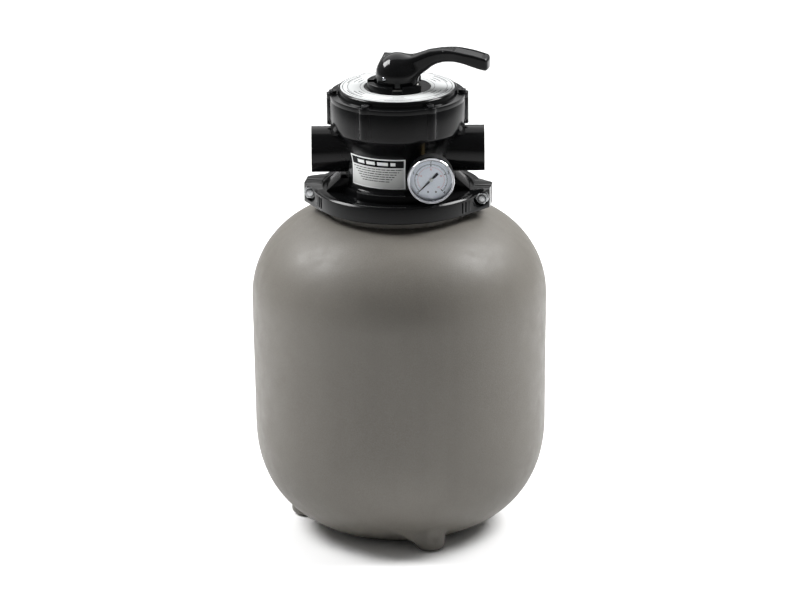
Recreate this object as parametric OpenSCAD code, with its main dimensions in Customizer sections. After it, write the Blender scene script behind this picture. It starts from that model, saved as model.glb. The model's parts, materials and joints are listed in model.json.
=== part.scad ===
// Small top-mount sand filter: blow-moulded tank, clamped multiport valve,
// lever handle, side pressure gauge, and the pipework inside the tank.
// Axis of the tank is Z, the front is -Y, the floor is z = 0. Millimetres.

/* [Tank] */
// Radius at the widest place, below the shoulder
tank_r = 175; // [170:0.5:180]
// Radius where the wall meets the rounded bottom
tank_low_r = 172.5; // [170:0.5:175]
// Height at which the rounded bottom ends
bottom_z = 136; // [128:1:144]
// Height at which the shoulder starts
shoulder_z = 284; // [278:1:286]
// Radius of the shoulder's curve
shoulder_curve = 106; // [100:1:108]
// Wall thickness of the tank
tank_wall = 5; // [4:0.5:6]
// Distance of each foot from the tank's axis
foot_reach = 117; // [110:1:120]
// Direction of the foot nearest the front
foot_turn = -73; // [-90:1:-60]

/* [Clamp] */
// Underside of the clamp ring
clamp_z = 398; // [397:0.5:399]
// Height of the clamp ring
clamp_h = 20.5; // [20:0.5:21]
// Outer radius of the clamp ring
clamp_r = 100; // [99:0.5:102]
// Turn of the clamp against the ports
clamp_turn = -8.5; // [-30:0.5:30]

/* [Valve] */
// Height of the port centres
port_z = 463; // [462:0.5:464]
// Outer radius of each port
port_r = 27.3; // [27:0.1:28]
// Bore radius of each port, for 1.5 inch pipe
socket_r = 24.15; // [24:0.05:24.4]
// Depth of each port's socket
socket_depth = 30; // [25:1:32]
// Reach of each port from the axis
port_reach = 102.5; // [100:0.5:106]
// Outer radius of the valve's neck
neck_r = 62; // [60:0.5:63]
// Radius over the lid's screw lugs
lug_r = 84; // [83:0.5:86]

/* [Handle] */
// Turn of the handle against the ports
handle_turn = -9; // [-30:1:30]
// Radius of the handle's hub
hub_r = 25.6; // [25:0.1:26]
// Height of the handle's pin
pin_z = 553.5; // [553:0.5:554]
// Offset of the pin from the axis, away from the arm
pin_offset = 12; // [11:0.5:12]

/* [Gauge] */
// Outer radius of the gauge's rim
gauge_r = 27.8; // [27:0.1:28.5]
// Height of the gauge's centre
gauge_z = 450; // [449:0.5:451]
// Sideways place of the gauge's centre
gauge_x = 38.5; // [37:0.5:39]
// Distance of the gauge's face in front of the axis
gauge_front = 95; // [93:0.5:97]

/* [Hidden] */
$fn = 96;

gap = 0.3;          // clearance between faces of moving pieces
fit = 0.1;          // radial clearance of a running fit

// tank
bottom_power = 0.84;
bottom_h = 147;
base_gap = 1;       // the flat of the bottom stands this far above the floor
shoulder_r = tank_r - shoulder_curve;
mouth_r = 80;       // inner radius of the tank's mouth
mouth_out_r = 86;
flange_r = 94.5;
flange_z = clamp_z + 4.3;
seat_z = flange_z + 6.9;      // where the valve's flange rests on the tank's
foot_r = 18;
foot_round = 9;

// valve body
valve_flange_top = seat_z + 6.4;
collar_r = 74.5;
collar_top = valve_flange_top + 9.5;
plate_z = 487;      // underside of the valve's port plate
plate_t = 5;
gasket_z = plate_z + plate_t;
gasket_t = 2;
drum_r = 80.5;
drum_in_r = 72;
drum_low = 497.5;
bowl_z = 449.3;     // where the neck starts to widen into the bowl
bowl_curve = 60;
drum_top = 526;
neck_in_r = neck_r - 8;
pipe_r = 24.15;     // 1.5 inch pipe

// lid
lug_count = 6;
lug_pitch_r = 76.5;
flange_lid_z = 531.5;
lid_top = 538.9;
crown_r = 70.5;
label_r = 67.7;
label_in_r = 40;
label_t = 0.5;
sticker_t = 0.4;
sticker_low = 430.4;
boss_low = 523;
boss_r = 26;

// index ring on the lid
index_r = 36;
index_in_r = 28.4;
index_top = 546.3;
index_slot = 11;
index_open = 39;    // half angle of the open sector

// rotor, stem and handle
rotor_r = 68;
rotor_low = gasket_z + gasket_t + gap;
rotor_top = 506;
stem_r = 16.5;
stem_bore = stem_r + fit;
stem_top = 561;
pin_r = 2.6;
washer_low = lid_top + gap;
washer_t = 2.6;
hub_low = washer_low + washer_t + gap;
hub_dome_z = 555.5;
press_slope = 10.5; // angle of the hub's underside in front of its fulcrum
fulcrum_x = 12;

// gauge
gauge_depth = 27;
gauge_back = -gauge_front + gauge_depth;
dial_y = -gauge_front + 5;
spigot_r = 10;

// handle arm: distance from the axis, height, thickness, width of each section
ARM = [
    [8, 561, 27, 30], [26, 567.5, 23, 23], [42, 576.4, 18, 19],
    [60, 581, 15, 22], [80, 579.5, 13.5, 28], [104, 573.2, 14.5, 28]
];

function arc(r, cx, cy, from, to, steps) =
    [for (i = [0:steps]) let (a = from + (to - from) * i / steps) [cx + r * cos(a), cy + r * sin(a)]];

// rounded bottom, from the flat to the wall, drawn in by t
function bottom_curve(t) =
    [for (i = [1:30]) let (a = 3 * i)
        [(tank_low_r - t) * pow(sin(a), bottom_power),
         max(base_gap + t, bottom_z - (bottom_h - t) * pow(cos(a), bottom_power))]];

// side of the neck as it widens, offset outwards by t
function bowl(t, steps) = arc(bowl_curve - t, neck_r + bowl_curve, bowl_z, 180, 180 - 4.5 * steps, steps);

module ring(r_out, r_in, low, high) {
    translate([0, 0, low]) difference() {
        cylinder(r = r_out, h = high - low);
        translate([0, 0, -1]) cylinder(r = r_in, h = high - low + 2);
    }
}

module disc(r, low, high) {
    translate([0, 0, low]) cylinder(r = r, h = high - low);
}

// cylinder along -Y, from y = near to y = far
module rod_y(r, near, far) {
    translate([0, near, 0]) rotate([90, 0, 0]) cylinder(r = r, h = near - far);
}

module oring(r, wire, z) {
    translate([0, 0, z]) rotate_extrude() translate([r, 0]) circle(r = wire, $fn = 32);
}

// stub with a sloped web on one side
module foot() {
    translate([-10, 0, 0]) rotate([90, 0, 90]) linear_extrude(20)
        polygon([[0, 1], [-11, 2], [-52, 34], [-52, 60], [0, 60]]);
    rotate_extrude() polygon(concat(
        [[0, 60], [0, 0]],
        arc(foot_round, foot_r - foot_round, foot_round, -90, 0, 8),
        [[foot_r + 2, 60]]));
}

module tank_outside() {
    rotate_extrude($fn = 180) polygon(concat(
        [[0, base_gap]],
        bottom_curve(0),
        arc(shoulder_curve, shoulder_r, shoulder_z, 0, 80, 24),
        [[mouth_out_r, 386], [mouth_out_r, flange_z], [flange_r, flange_z],
         [flange_r, seat_z], [0, seat_z]]));
}

module tank_inside() {
    rotate_extrude($fn = 180) polygon(concat(
        [[0, base_gap + tank_wall]],
        bottom_curve(tank_wall),
        arc(shoulder_curve - tank_wall, shoulder_r, shoulder_z, 0, 80, 24),
        [[mouth_r, 384], [mouth_r, seat_z + 1], [0, seat_z + 1]]));
}

module tank_shell() {
    color([0.45, 0.44, 0.41]) difference() {
        union() {
            tank_outside();
            for (i = [0:2]) rotate([0, 0, foot_turn + 120 * i]) translate([foot_reach, 0, 0]) foot();
        }
        tank_inside();
        // seat of the O-ring, in the mouth's upper edge
        translate([0, 0, seat_z - 2.2]) cylinder(r1 = mouth_r, r2 = mouth_r + 3.2, h = 3.2);
    }
}

module neck_oring() {
    color([0.08, 0.08, 0.08]) oring(mouth_r - 1.5, 1.4, seat_z - 2.2);
}

module clamp_ring() {
    rotate_extrude() polygon([
        [88.5, clamp_z], [clamp_r - 1.2, clamp_z], [clamp_r, clamp_z + 1.2],
        [clamp_r, clamp_z + clamp_h - 2], [clamp_r - 2, clamp_z + clamp_h],
        [89.5, clamp_z + clamp_h], [89.5, valve_flange_top + gap],
        [flange_r + 0.5, valve_flange_top + gap], [flange_r + 0.5, flange_z - gap],
        [88.5, flange_z - gap]]);
}

bolt_x = clamp_r + 2.7;
bolt_z = clamp_z + 12.6;
lug_x = 111;
lug_t = 12;
split = 1.5;

// lug with its gusset, whose face runs from the lug's corner to the ring's tangent
module clamp_lug() {
    face_y = -split - lug_t;
    rim = clamp_r - 0.5;
    touch = atan2(face_y, lug_x) - acos(rim / norm([lug_x, face_y]));
    difference() {
        translate([0, 0, clamp_z]) linear_extrude(clamp_h + 2) polygon([
            [lug_x, -split], [lug_x, face_y], [rim * cos(touch), rim * sin(touch)],
            [90 * cos(touch), 90 * sin(touch)], [90, -split]]);
        // the top slopes down along the gusset
        translate([60, face_y - 4, clamp_z + clamp_h + 2]) rotate([9, 0, 0])
            translate([0, -80, 0]) cube([60, 80, 20]);
        disc(91, clamp_z - 1, clamp_z + clamp_h + 3);
    }
}

// the half on the -Y side; the other half is its mirror image
module clamp_half() {
    difference() {
        union() {
            intersection() {
                clamp_ring();
                translate([-130, -130 - split, 0]) cube([260, 130, 600]);
            }
            clamp_lug();
            mirror([1, 0, 0]) clamp_lug();
            // stiffening ribs beside the lugs
            for (side = [-1, 1], i = [0:2])
                rotate([0, 0, -90 + side * (58 + 3.5 * i)])
                    translate([clamp_r - 1, -0.7, clamp_z + 3]) cube([2, 1.4, 13]);
        }
        // seats of the nuts, and the lugs' inner clearance over the flanges
        for (side = [-1, 1]) translate([side * bolt_x, 0, bolt_z]) {
            rod_y(8.6, -split - lug_t, -40);
            rod_y(4.2, 1, -30);
        }
        translate([0, 0, flange_z - gap]) cylinder(r = flange_r + 0.5, h = valve_flange_top - flange_z + 2 * gap);
    }
}

module clamp_front() {
    color([0.09, 0.09, 0.1]) rotate([0, 0, clamp_turn]) clamp_half();
}

module clamp_rear() {
    color([0.09, 0.09, 0.1]) rotate([0, 0, clamp_turn + 180]) clamp_half();
}

// one bolt through each pair of lugs, head at the rear, with its washer
module clamp_bolts() {
    color([0.75, 0.76, 0.78]) rotate([0, 0, clamp_turn]) for (side = [-1, 1])
        translate([side * bolt_x, 0, bolt_z]) {
            rod_y(4, split + lug_t, -split - lug_t - 9.2);
            rod_y(8, split + lug_t + 1.4, split + lug_t);
            translate([0, split + lug_t + 6.7, 0]) rotate([90, 0, 0]) cylinder(r = 7.5, h = 5.3, $fn = 6);
        }
}

module clamp_nuts() {
    color([0.8, 0.81, 0.83]) rotate([0, 0, clamp_turn]) for (side = [-1, 1])
        translate([side * bolt_x, 0, bolt_z]) difference() {
            union() {
                rod_y(8, -split - lug_t, -split - lug_t - 1.4);
                translate([0, -split - lug_t - 1.4, 0]) rotate([90, 0, 0]) cylinder(r = 7.5, h = 6.2, $fn = 6);
            }
            rod_y(4.05, 0, -30);
            // countersink of the thread
            translate([0, -split - lug_t - 5.9, 0]) rotate([90, 0, 0]) cylinder(r1 = 3.9, r2 = 5.8, h = 2);
        }
}

module port_tube(r, from, to) {
    translate([from, 0, port_z]) rotate([0, 90, 0]) cylinder(r = r, h = to - from);
}

// directions of the ports: pump at the left, return at the right, waste at the rear
PORTS = [0, 90, 180];

module valve_outside() {
    disc(flange_r, seat_z, valve_flange_top);
    // collar above the flange, full height at the front and the rear
    disc(67, seat_z, collar_top - 0.8);
    for (a = [-90, 90]) intersection() {
        disc(collar_r, seat_z, collar_top);
        rotate([0, 0, a]) translate([0, -49, 0]) cube([100, 98, 600]);
    }
    // sloped gussets under the side ports
    for (side = [-1, 1]) translate([0, 21, 0]) rotate([90, 0, 0]) linear_extrude(42)
        polygon([[side * 50, seat_z + 1], [side * 85, seat_z + 1], [side * 85, valve_flange_top + 2],
                 [side * 68, 433], [side * 50, 433]]);
    // neck, bowl and drum, one round body
    rotate_extrude() polygon(concat(
        [[0, seat_z], [neck_r + 6, seat_z], [neck_r + 6, collar_top - 2]],
        arc(8, neck_r + 8, collar_top + 5, 240, 180, 6),
        bowl(0, 10),
        [[drum_r, drum_low], [drum_r, drum_top], [0, drum_top]]));
    for (i = [0:lug_count - 1]) rotate([0, 0, 60 * i]) lug_column(drum_low - 3, drum_top);
    for (a = PORTS) rotate([0, 0, a]) port_tube(port_r, 0, port_reach);
    // webs between the drum and the side ports
    for (a = [0, 180], y = [-15, 15]) rotate([0, 0, a])
        translate([50, y - 2.5, port_z + 15]) cube([29, 5, 25]);
    // boss for the gauge
    translate([gauge_x, 0, gauge_z]) rod_y(12, -30, -58);
    // skirt inside the tank's mouth
    disc(78, seat_z - 22, seat_z);
}

// rounded column for one lid screw
module lug_column(low, high) {
    translate([lug_pitch_r, 0, low]) cylinder(r = lug_r - lug_pitch_r, h = high - low);
    translate([drum_r - 8, -(lug_r - lug_pitch_r), low]) cube([lug_pitch_r - drum_r + 8, 2 * (lug_r - lug_pitch_r), high - low]);
}

module valve_body() {
    color([0.08, 0.08, 0.09]) difference() {
        valve_outside();
        // drum's chamber
        disc(drum_in_r, plate_z + plate_t, drum_top + 1);
        // neck's chamber, open to the tank around the standpipe
        difference() {
            disc(neck_in_r, seat_z - 23, plate_z);
            disc(34, seat_z - 23, plate_z);
            // walls that part the ways of the three ports
            for (a = [45, 135, 225, 315]) rotate([0, 0, a]) translate([0, -2.5, seat_z - 12]) cube([60, 5, 100]);
        }
        // the standpipe's way
        disc(pipe_r + fit, seat_z - 23, seat_z + 18);
        disc(21, seat_z + 17, plate_z - 8);
        // four ways through the port plate
        for (a = [0, 90, 180, 270]) rotate([0, 0, a]) translate([42, 0, plate_z - 1]) cylinder(r = 8, h = plate_t + 2);
        for (a = PORTS) rotate([0, 0, a]) {
            port_tube(socket_r, port_reach - socket_depth, port_reach + 1);
            port_tube(20, 44, port_reach);
        }
        for (i = [0:lug_count - 1]) rotate([0, 0, 60 * i])
            translate([lug_pitch_r, 0, drum_top - 16]) cylinder(r = 2, h = 17);
        // thread for the gauge
        translate([gauge_x, 0, gauge_z]) rod_y(6.6, -36, -59);
        // groove of the lid's O-ring
        ring(drum_in_r + 2.2, drum_in_r - 1, drum_top - 2.6, drum_top + 1);
        // groove of the neck's O-ring, under the flange
        ring(mouth_r + 4, 77, seat_z - 4.2, seat_z);
    }
}

// rubber spider in the port plate: a rim, a hub and four spokes
module spider_gasket() {
    color([0.12, 0.12, 0.12]) {
        ring(66, 60, gasket_z, gasket_z + gasket_t);
        ring(22, 16, gasket_z, gasket_z + gasket_t);
        for (a = [45, 135, 225, 315]) rotate([0, 0, a])
            translate([20, -2.5, gasket_z]) cube([42, 5, gasket_t]);
    }
}

// diverter with its stem; the stem's head is slotted into the handle
module rotor() {
    color([0.85, 0.85, 0.83]) difference() {
        union() {
            disc(rotor_r, rotor_low, rotor_low + 4);
            ring(rotor_r, rotor_r - 5, rotor_low, rotor_top);
            disc(stem_r + 6, rotor_low, rotor_top);
            for (a = [0, 60, 120]) rotate([0, 0, a])
                translate([-rotor_r + 2, -2, rotor_low]) cube([2 * rotor_r - 4, 4, rotor_top - rotor_low]);
            disc(stem_r, rotor_low, 545);
            rotate([0, 0, handle_turn]) intersection() {
                disc(stem_r - 0.4, 540, stem_top);
                translate([-20, -8, 540]) cube([40, 16, 30]);
            }
        }
        // window that joins two ways
        rotate([0, 0, handle_turn + 45]) translate([42, 0, rotor_low - 1]) cylinder(r = 13, h = 6);
        rotate([0, 0, handle_turn]) translate([-pin_offset, 0, pin_z]) rod_y(pin_r + 0.05, 30, -30);
        for (z = [528, 534]) ring(stem_r + 1, stem_r - 2.3, z - 1.3, z + 1.3);
    }
}

module stem_orings() {
    color([0.08, 0.08, 0.08]) for (z = [528, 534]) oring(stem_r - 1.15, 1.15, z);
}

// compression spring between the rotor and the lid, wound by a sweep of one circle
spring_r = 20;
spring_wire = 1.4;
spring_low = rotor_top + spring_wire;
spring_high = boss_low - 1.5 - spring_wire;
spring_turns = 2.6;
spring_steps = 66;
spring_sides = 8;

module rotor_spring() {
    points = [for (i = [0:spring_steps], j = [0:spring_sides - 1])
        let (a = 360 * spring_turns * i / spring_steps,
             b = 360 * j / spring_sides,
             r = spring_r + spring_wire * cos(b))
        [r * cos(a), r * sin(a),
         spring_low + (spring_high - spring_low) * i / spring_steps + spring_wire * sin(b)]];
    sides = [for (i = [0:spring_steps - 1], j = [0:spring_sides - 1])
        let (k = (j + 1) % spring_sides)
        [i * spring_sides + j, (i + 1) * spring_sides + j, (i + 1) * spring_sides + k, i * spring_sides + k]];
    first = [for (j = [0:spring_sides - 1]) j];
    last = [for (j = [spring_sides - 1:-1:0]) spring_steps * spring_sides + j];
    color([0.7, 0.7, 0.72]) polyhedron(points = points, faces = concat(sides, [first, last]));
}

module spring_washer() {
    color([0.8, 0.8, 0.8]) ring(24, stem_r + 0.4, boss_low - 1.5, boss_low);
}

module valve_lid() {
    color([0.08, 0.08, 0.09]) difference() {
        union() {
            disc(drum_r, drum_top, flange_lid_z);
            for (i = [0:lug_count - 1]) rotate([0, 0, 60 * i]) lug_column(drum_top, flange_lid_z + 1);
            translate([0, 0, flange_lid_z]) cylinder(r1 = crown_r + 0.6, r2 = crown_r, h = lid_top - flange_lid_z - 1);
            translate([0, 0, lid_top - 1]) cylinder(r1 = crown_r, r2 = crown_r - 1, h = 1);
            // index ring
            difference() {
                disc(index_r, lid_top - 1, index_top);
                for (a = [90, 180, 270]) rotate([0, 0, a])
                    translate([index_in_r - 2, -index_slot / 2, lid_top + 2]) cube([12, index_slot, 20]);
                linear_extrude(600) polygon([[0, 0], [60, -60 * tan(index_open)], [60, 60 * tan(index_open)]]);
            }
            // plug into the drum's chamber
            ring(drum_in_r - 0.2, drum_in_r - 5, drum_top - 6, drum_top);
        }
        // hollow under the crown, around the stem's boss
        difference() {
            disc(drum_in_r - 5, drum_top - 7, lid_top - 5);
            disc(boss_r, boss_low, lid_top);
            for (a = [0, 60, 120]) rotate([0, 0, a]) translate([-70, -1.5, drum_top - 2]) cube([140, 3, 20]);
        }
        disc(stem_bore, 500, 600);
        disc(index_in_r, lid_top, 600);
        for (i = [0:lug_count - 1]) rotate([0, 0, 60 * i]) translate([lug_pitch_r, 0, 500]) cylinder(r = 2.8, h = 60);
    }
}

module lid_oring() {
    color([0.08, 0.08, 0.08]) oring(drum_in_r + 1.1, 1.05, drum_top - 1.3);
}

module lid_screws() {
    color([0.1, 0.1, 0.11]) for (i = [0:lug_count - 1]) rotate([0, 0, 60 * i])
        translate([lug_pitch_r, 0, 0]) difference() {
            union() {
                disc(1.95, drum_top - 15, flange_lid_z + 1);
                disc(4.6, flange_lid_z + 1, flange_lid_z + 4);
            }
            translate([-3.4, -0.6, flange_lid_z + 2.6]) cube([6.8, 1.2, 3]);
            translate([-0.6, -3.4, flange_lid_z + 2.6]) cube([1.2, 6.8, 3]);
        }
}

module position_label() {
    color([0.93, 0.93, 0.93]) ring(label_r, label_in_r, lid_top, lid_top + label_t);
}

module neck_sticker() {
    outer = bowl(sticker_t, 4);
    color([0.92, 0.92, 0.92]) intersection() {
        rotate_extrude() polygon(concat(
            [[neck_r, sticker_low]], bowl(0, 4),
            [for (i = [4:-1:0]) outer[i]], [[neck_r + sticker_t, sticker_low]]));
        linear_extrude(600) polygon([[0, 0], [-100, -54], [-100, -100], [15.5, -100]]);
    }
}

// washer that turns with the handle, keyed by the flats of the stem's head
module handle_washer() {
    color([0.85, 0.85, 0.85]) ring(25, stem_r + 0.5, washer_low, washer_low + washer_t);
}

module handle_body() {
    difference() {
        union() {
            disc(hub_r, hub_low, hub_dome_z);
            translate([0, 0, hub_dome_z]) sphere(r = hub_r);
        }
        // underside of the sphere, and the slope in front of the fulcrum
        disc(40, 500, hub_low);
        translate([fulcrum_x, -40, hub_low]) rotate([0, -press_slope, 0]) translate([0, 0, -20]) cube([40, 80, 20]);
    }
    // arm
    for (i = [0:len(ARM) - 2]) hull() {
        arm_section(ARM[i]);
        arm_section(ARM[i + 1]);
    }
    // cheek behind the dome, with a sloped outer edge
    translate([0, 17, 0]) rotate([90, 0, 0]) linear_extrude(14)
        polygon([[-24.5, 550], [-24.5, 562], [-18.5, 575.5], [-5, 576.5], [-5, 550]]);
}

module arm_section(s) {
    translate([s[0], s[3] / 2, s[1]]) rotate([90, 0, 0]) cylinder(r = s[2] / 2, h = s[3], $fn = 32);
}

module handle() {
    color([0.08, 0.08, 0.09]) rotate([0, 0, handle_turn]) difference() {
        handle_body();
        // pocket for the stem's head, with room for the press and the lift
        translate([-20, -8.4, 500]) cube([44, 16.8, 66.5]);
        for (x = [0, 3.5]) translate([x, 0, 0]) disc(stem_r + 1, 500, 551);
        translate([-pin_offset, 0, pin_z]) rod_y(pin_r, 40, -40);
    }
}

module handle_pin() {
    color([0.85, 0.86, 0.88]) rotate([0, 0, handle_turn]) translate([-pin_offset, 0, pin_z]) rod_y(pin_r, 23.2, -23.2);
}

module gauge_case() {
    color([0.15, 0.15, 0.16]) translate([gauge_x, 0, gauge_z]) difference() {
        union() {
            rod_y(gauge_r - 1.2, gauge_back, -gauge_front + 1.5);
            rod_y(spigot_r, gauge_back + 1.5, gauge_back);
        }
        rod_y(gauge_r - 2.6, gauge_back - 1.6, -gauge_front);
        rod_y(6.7, 0, gauge_back - 3);
    }
}

module gauge_bezel() {
    color([0.8, 0.81, 0.83]) translate([gauge_x, 0, gauge_z]) difference() {
        union() {
            rod_y(gauge_r, -gauge_front + 9, -gauge_front + 1);
            translate([0, -gauge_front + 1, 0]) rotate([90, 0, 0]) cylinder(r1 = gauge_r, r2 = gauge_r - 1, h = 1);
        }
        rod_y(gauge_r - 1.2, 0, -gauge_front + 1.5);
        rod_y(gauge_r - 3.2, 0, -gauge_front - 1);
    }
}

module gauge_lens() {
    color([0.8, 0.85, 0.9, 0.4]) translate([gauge_x, 0, gauge_z])
        rod_y(gauge_r - 2.7, -gauge_front + 3.1, -gauge_front + 1.6);
}

module gauge_dial() {
    color([0.94, 0.94, 0.94]) translate([gauge_x, 0, gauge_z]) difference() {
        rod_y(gauge_r - 2.7, dial_y + 1.4, dial_y + 0.6);
        rod_y(1, 0, -100);
    }
}

needle_rest = 135;  // direction of the point at zero, anticlockwise from straight up

module gauge_needle() {
    color([0.1, 0.1, 0.1]) translate([gauge_x, 0, gauge_z]) {
        rod_y(0.9, dial_y + 3.5, dial_y - 0.4);
        rod_y(2, dial_y + 0.2, dial_y - 0.4);
        rotate([0, -needle_rest, 0]) translate([0, dial_y + 0.2, 0]) rotate([90, 0, 0])
            linear_extrude(0.5) polygon([[-0.45, 20], [0.45, 20], [0.9, 0], [1.4, -11], [-1.4, -11], [-0.9, 0]]);
    }
}

// bourdon tube, bent round to three quarters of a circle, on its block
module gauge_movement() {
    color([0.7, 0.55, 0.25]) translate([gauge_x, 0, gauge_z]) {
        difference() {
            rod_y(17, gauge_back - 6, gauge_back - 9);
            rod_y(14.5, gauge_back - 5.5, gauge_back - 10);
            translate([0, gauge_back - 10, 0]) cube([30, 6, 30]);
        }
        translate([-5, gauge_back - 9, -5]) cube([10, 7.3, 10]);
        translate([-3, gauge_back - 9, 4]) cube([3, 3, 12]);
    }
}

// brass stem from the gauge to the valve's neck, with a hexagon for a spanner
module gauge_stem() {
    color([0.72, 0.58, 0.28]) translate([gauge_x, 0, gauge_z]) {
        rod_y(6.55, -37, -62);
        rod_y(6.6, -61.9, gauge_back - 1.6);
        translate([0, -59.6, 0]) rotate([90, 0, 0]) cylinder(r = 8.1, h = 6.4, $fn = 6);
    }
}

module gauge_seal() {
    color([0.1, 0.1, 0.1]) translate([gauge_x, 0, gauge_z]) difference() {
        rod_y(9, -58, -59.6);
        rod_y(6.6, -57, -60.5);
    }
}

// slotted basket that spreads the water over the sand
module top_diffuser() {
    color([0.85, 0.86, 0.84]) difference() {
        union() {
            ring(neck_in_r - 0.5, pipe_r + 1.5, 372, 374.5);
            ring(neck_in_r - 0.5, neck_in_r - 3, 372, seat_z - 14);
        }
        for (i = [0:23]) rotate([0, 0, 15 * i]) translate([40, -1, 376]) cube([20, 2, 9]);
        for (i = [0:11]) rotate([0, 0, 30 * i]) translate([31, -1, 370]) cube([14, 2, 8]);
    }
}

module standpipe() {
    color([0.93, 0.93, 0.91]) ring(pipe_r, pipe_r - 3, 62, seat_z + 16.5);
}

lateral_z = 48;

module lateral_hub() {
    color([0.2, 0.2, 0.21]) difference() {
        union() {
            disc(34, lateral_z - 14, lateral_z + 14);
            disc(29, lateral_z + 13, lateral_z + 30);
            // foot of the hub, on the tank's floor
            disc(20, base_gap + tank_wall, lateral_z - 13);
        }
        disc(pipe_r + 0.05, 62, lateral_z + 31);
        disc(20, lateral_z - 10, 63);
        for (i = [0:7]) rotate([0, 0, 45 * i]) translate([18, 0, lateral_z]) rotate([0, 90, 0]) cylinder(r = 6.05, h = 20);
    }
}

// eight slotted fingers
module laterals() {
    color([0.3, 0.3, 0.31]) for (i = [0:7]) rotate([0, 0, 45 * i]) difference() {
        union() {
            translate([24, 0, lateral_z]) rotate([0, 90, 0]) cylinder(r = 6, h = 12);
            translate([34.2, 0, lateral_z]) rotate([0, 90, 0]) cylinder(r = 8.5, h = 85);
        }
        translate([23, 0, lateral_z]) rotate([0, 90, 0]) cylinder(r = 4, h = 93);
        for (k = [0:7]) translate([42 + 9 * k, -10, lateral_z + 3]) cube([0.8, 20, 7]);
        for (k = [0:7]) translate([42 + 9 * k, -10, lateral_z - 10]) cube([0.8, 20, 7]);
    }
}

tank_shell();
neck_oring();
clamp_front();
clamp_rear();
clamp_bolts();
clamp_nuts();
valve_body();
spider_gasket();
rotor();
stem_orings();
rotor_spring();
spring_washer();
valve_lid();
lid_oring();
lid_screws();
position_label();
neck_sticker();
handle_washer();
handle();
handle_pin();
gauge_case();
gauge_bezel();
gauge_lens();
gauge_dial();
gauge_needle();
gauge_movement();
gauge_stem();
gauge_seal();
top_diffuser();
standpipe();
lateral_hub();
laterals();
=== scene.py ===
"""Looks of the sand filter tank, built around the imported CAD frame.

Lengths in the helpers are millimetres.
"""

import json
import math
import random

import bmesh
import bpy
import numpy as np
from mathutils import Matrix, Vector


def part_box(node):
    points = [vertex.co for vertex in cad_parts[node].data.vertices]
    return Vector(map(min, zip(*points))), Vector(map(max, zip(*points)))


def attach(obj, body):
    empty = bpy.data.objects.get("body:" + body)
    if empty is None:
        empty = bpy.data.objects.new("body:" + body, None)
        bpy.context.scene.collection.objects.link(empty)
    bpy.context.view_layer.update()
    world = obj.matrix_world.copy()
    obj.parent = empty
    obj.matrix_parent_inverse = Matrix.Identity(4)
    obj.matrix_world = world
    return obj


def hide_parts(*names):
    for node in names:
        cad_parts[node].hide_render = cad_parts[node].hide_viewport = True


MM = 0.001
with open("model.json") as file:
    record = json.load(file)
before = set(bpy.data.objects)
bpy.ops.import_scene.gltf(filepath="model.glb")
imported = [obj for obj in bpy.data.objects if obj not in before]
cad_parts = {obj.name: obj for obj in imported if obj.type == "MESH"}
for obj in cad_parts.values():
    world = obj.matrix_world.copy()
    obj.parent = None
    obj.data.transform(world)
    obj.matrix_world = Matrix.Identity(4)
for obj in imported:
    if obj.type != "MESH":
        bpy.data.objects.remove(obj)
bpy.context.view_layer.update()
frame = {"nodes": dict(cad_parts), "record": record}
NODES = frame["nodes"]


def box_mm(node):
    lo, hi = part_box(node)
    return lo / MM, hi / MM


# ---------------------------------------------------------------- materials

def new_material(name):
    mat = bpy.data.materials.new(name)
    mat.use_nodes = True
    tree = mat.node_tree
    shader = tree.nodes["Principled BSDF"]
    coords = tree.nodes.new("ShaderNodeTexCoord")
    return mat, tree, shader, coords.outputs["Object"]


def add_noise(tree, coords, scale, detail=3.0, rough=0.5, stretch=(1, 1, 1)):
    mapping = tree.nodes.new("ShaderNodeMapping")
    mapping.inputs["Scale"].default_value = stretch
    tree.links.new(coords, mapping.inputs["Vector"])
    noise = tree.nodes.new("ShaderNodeTexNoise")
    noise.inputs["Scale"].default_value = scale
    noise.inputs["Detail"].default_value = detail
    noise.inputs["Roughness"].default_value = rough
    tree.links.new(mapping.outputs["Vector"], noise.inputs["Vector"])
    return noise.outputs["Fac"]


def add_range(tree, value, low, high, from_low=0.3, from_high=0.7):
    node = tree.nodes.new("ShaderNodeMapRange")
    node.inputs["From Min"].default_value = from_low
    node.inputs["From Max"].default_value = from_high
    node.inputs["To Min"].default_value = low
    node.inputs["To Max"].default_value = high
    tree.links.new(value, node.inputs["Value"])
    return node.outputs["Result"]


def add_mix(tree, factor, dark, light):
    node = tree.nodes.new("ShaderNodeMix")
    node.data_type = "RGBA"
    tree.links.new(factor, node.inputs["Factor"])
    for socket, colour in (("A", dark), ("B", light)):
        target = [s for s in node.inputs if s.name == socket and s.type == "RGBA"][0]
        if isinstance(colour, tuple):
            target.default_value = (*colour, 1)
        else:
            tree.links.new(colour, target)
    return [s for s in node.outputs if s.type == "RGBA"][0]


def add_bump(tree, shader, layers):
    """Bump layers, each (height, strength, distance in mm), one on top of the other."""
    normal = None
    for height, strength, distance in layers:
        bump = tree.nodes.new("ShaderNodeBump")
        bump.inputs["Strength"].default_value = strength
        bump.inputs["Distance"].default_value = distance * MM
        tree.links.new(height, bump.inputs["Height"])
        if normal is not None:
            tree.links.new(normal, bump.inputs["Normal"])
        normal = bump.outputs["Normal"]
    tree.links.new(normal, shader.inputs["Normal"])


def edge_wear(tree, low=0.56, high=0.72):
    """1 on convex edges, 0 elsewhere."""
    geometry = tree.nodes.new("ShaderNodeNewGeometry")
    return add_range(tree, geometry.outputs["Pointiness"], 0.0, 1.0, low, high)


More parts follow.
